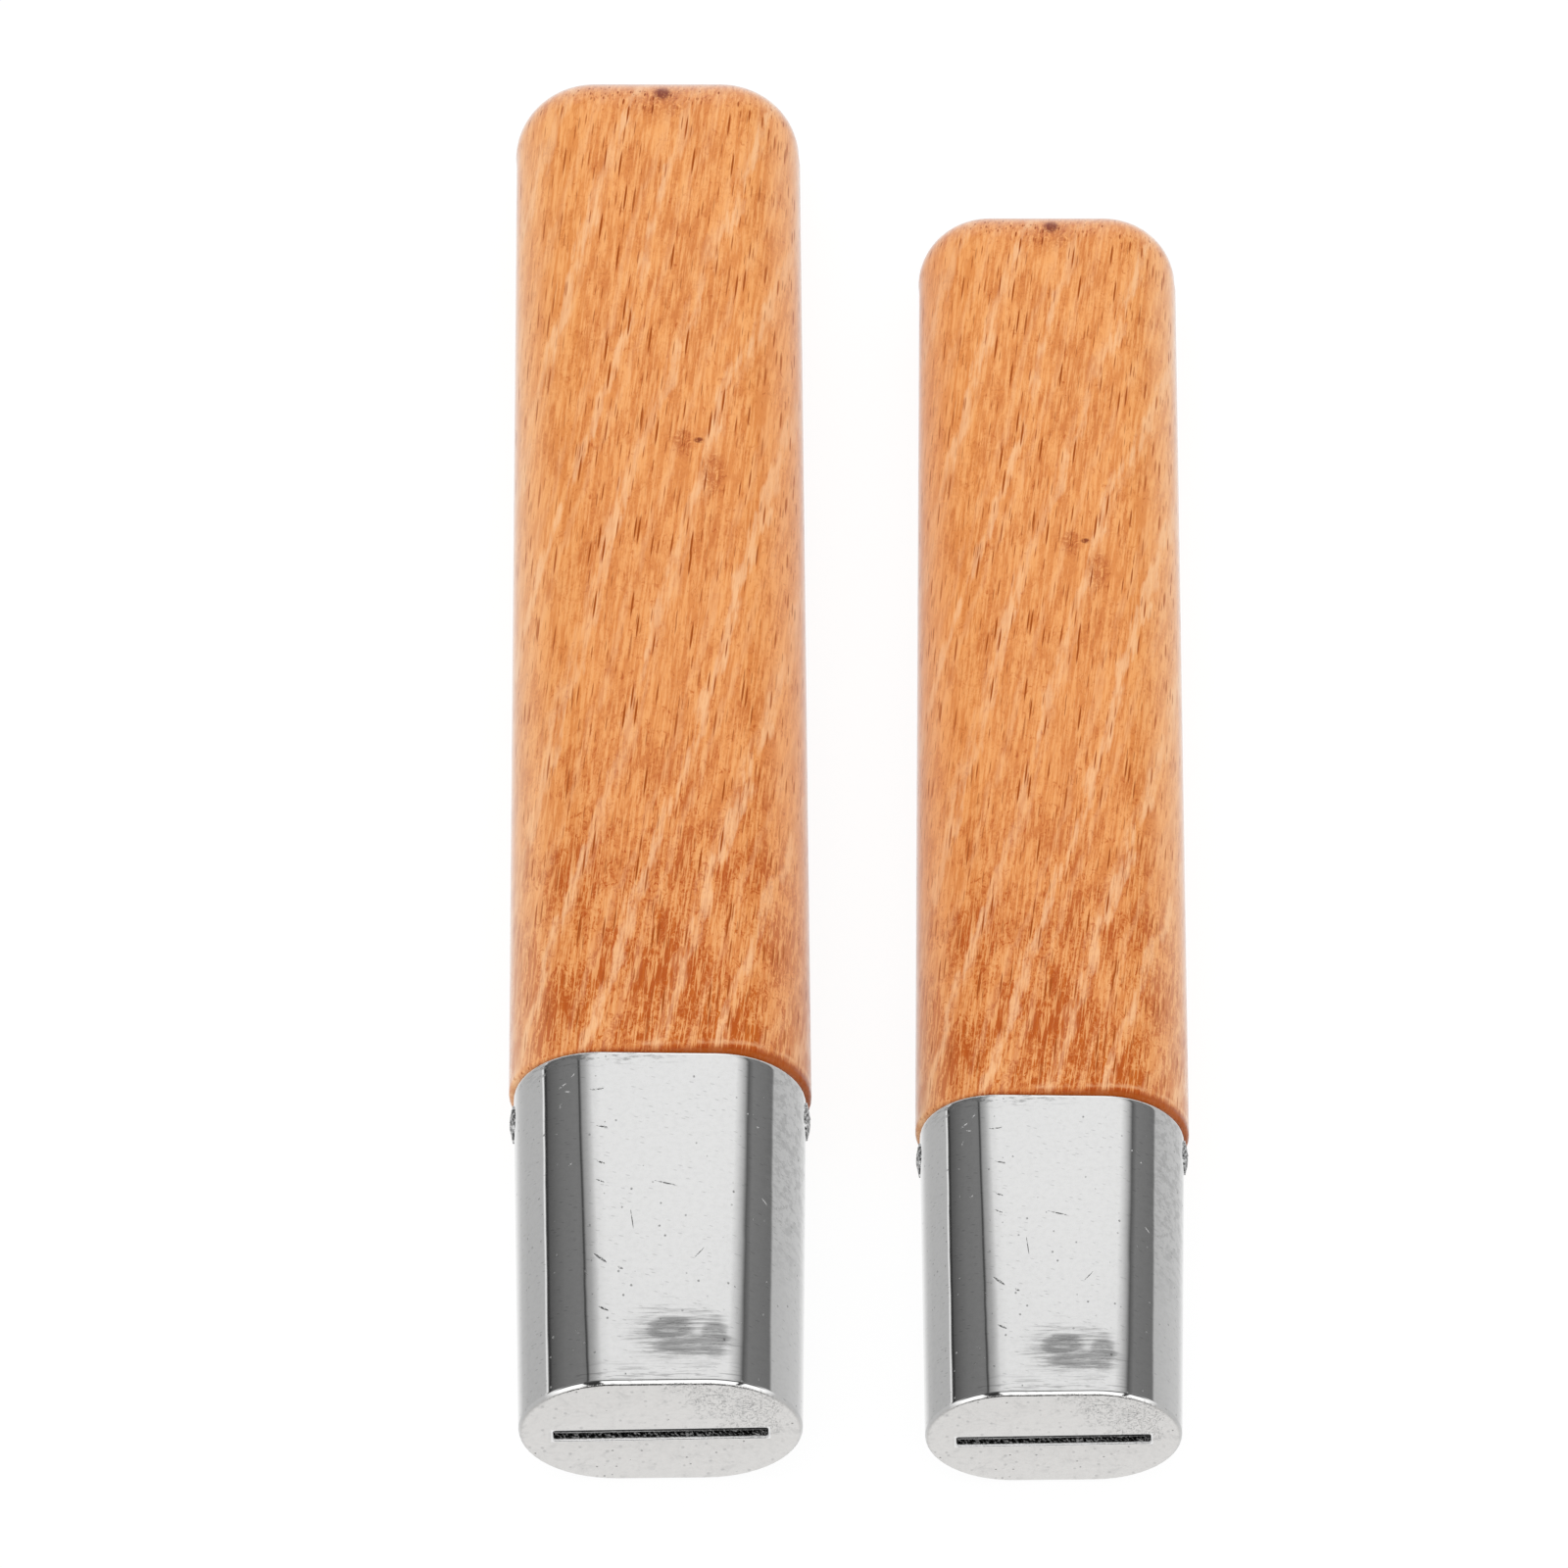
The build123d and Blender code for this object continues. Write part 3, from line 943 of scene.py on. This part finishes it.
studioSet = {
    "daylight": 0.96,       # plain light on the object
    "lamp": 0.4,            # watts of the soft lamp over it
    "lampSize": 0.7,
    "lampPlace": (-0.25, 0.1, 0.9),
    "lampTurn": (-6, -15.5, 0),
    "floorSize": 12,
    "floorColour": grey(0.88),
    "floorGlow": 0.86,      # share of the floor that the camera sees plain white
    "glowStrength": 1.06,
    "floorDrop": 0.00002,   # of the floor below the object's underside
    # what polished metal mirrors, from under the left side over the top to under the right: degrees and level
    "mirrored": [
        (-180, 0.92), (-160, 0.92), (-150, 0.76), (-139, 0.6), (-124, 0.54), (-88, 0.54), (-87.3, 1.0),
        (-85.1, 1.0), (-84.3, 0.03), (-81, 0.05), (-79, 0.11), (-70, 0.155), (-58, 0.2), (-38, 0.225),
        (-33.3, 0.21), (-32.4, 0.06), (-31.2, 0.07), (-29, 0.34), (-23, 0.47), (-18, 0.66), (-14, 0.86),
        (-7, 0.95), (0, 0.965), (27, 0.95), (34, 0.72), (40, 0.46), (45, 0.12), (52, 0.225), (81, 0.19),
        (84, 0.58), (140, 0.68), (165, 0.92),
    ],
    # and in front of the object, with a gap in the light towards each corner of the ferrule
    "plain": [
        (-180, 0.66), (-120, 0.43), (-85, 0.43), (-66, 1), (-36, 1), (-34, 0.03), (-16, 0.03), (-14, 1),
        (37, 1), (38, 0.03), (43, 0.03), (44, 1), (66, 1), (85, 0.43), (120, 0.44), (180, 0.66),
    ],
    "glare": 1.4,           # how much brighter the plain part is than its levels
    "ledge": grey(0.1),
    "doorway": grey(0.03),
}


def makeWorld():
    world = bpy.data.worlds.new("studio")
    bpy.context.scene.world = world
    world.use_nodes = True
    tree = world.node_tree
    tree.nodes.remove(tree.nodes["Background"])
    direction = Wire(tree).node("TexCoord", output="Generated")
    x, y, z = axes(direction)
    around = direction.maths("ARCTAN2", x, z) / (2 * math.pi) + 0.5

    def ringOfLight(name):
        stops = [((angle + 180) / 360, grey(level)) for angle, level in studioSet[name]]
        return around.node("ValToRGB", {"stops": stops}, {"Fac": around})

    mirrored, plain = ringOfLight("mirrored"), ringOfLight("plain")
    # the dark screens stand at the back only, over a dark ledge, and a dark doorway stands straight in front
    mirrored = blend(rise(y, 0.4, 0.44) * (1 - rise(y, 0.86, 0.95)), plain * studioSet["glare"], mirrored)
    ledge = rise(y, 0.1, 0.16) * (1 - rise(y, 0.4, 0.44)) * rise(z, 0.2, 0.5)
    mirrored = blend(ledge, mirrored, studioSet["ledge"])
    mirrored = blend(rise(0 - y, 0.84, 0.88), mirrored, studioSet["doorway"])
    isCamera = direction.node("LightPath", output="Is Camera Ray")
    isGlossy = direction.node("LightPath", output="Is Glossy Ray")
    light = blend(isCamera, grey(studioSet["daylight"]), grey(1.0))
    light = blend(isGlossy, light, mirrored)
    background = light.node("Background", {}, {"Color": light, "Strength": 1.0})
    tree.links.new(background.socket, tree.nodes["World Output"].inputs["Surface"])


def makeFloor():
    bpy.ops.mesh.primitive_plane_add(size=studioSet["floorSize"], location=(0, 0, -studioSet["floorDrop"]))
    floor = bpy.context.object
    floor.name = "floor"
    material = bpy.data.materials.new("paper")
    material.use_nodes = True
    tree = material.node_tree
    tree.nodes.remove(tree.nodes["Principled BSDF"])
    isCamera = Wire(tree).node("LightPath", output="Is Camera Ray")
    paper = isCamera.node("BsdfDiffuse", {}, {"Color": studioSet["floorColour"]})
    glow = isCamera.node("Emission", {}, {"Color": grey(1.0), "Strength": studioSet["glowStrength"]})
    shader = isCamera.node("MixShader", {}, {0: isCamera * studioSet["floorGlow"], 1: paper, 2: glow})
    # clear from below, so that the object's underside can be seen
    fromBelow = isCamera.node("NewGeometry", output="Backfacing")
    clear = isCamera.node("BsdfTransparent")
    shader = isCamera.node("MixShader", {}, {0: fromBelow, 1: shader, 2: clear})
    floor.data.materials.append(finishMaterial(material, shader))
    floor.visible_glossy = False


def makeLamp():
    turn = [math.radians(angle) for angle in studioSet["lampTurn"]]
    bpy.ops.object.light_add(type="AREA", location=studioSet["lampPlace"], rotation=turn)
    lamp = bpy.context.object
    lamp.data.shape = "DISK"
    lamp.data.size = studioSet["lampSize"]
    lamp.data.energy = studioSet["lamp"]
    lamp.visible_glossy = False
    lamp.visible_camera = False


makeWorld()
makeFloor()
makeLamp()
# polished metal mirrors the studio alone, as if each handle lay by itself
for handle in handles:
    for piece in [grips[handle], ferrules[handle]] + nails[handle]:
        piece.visible_glossy = False
print("studio made")
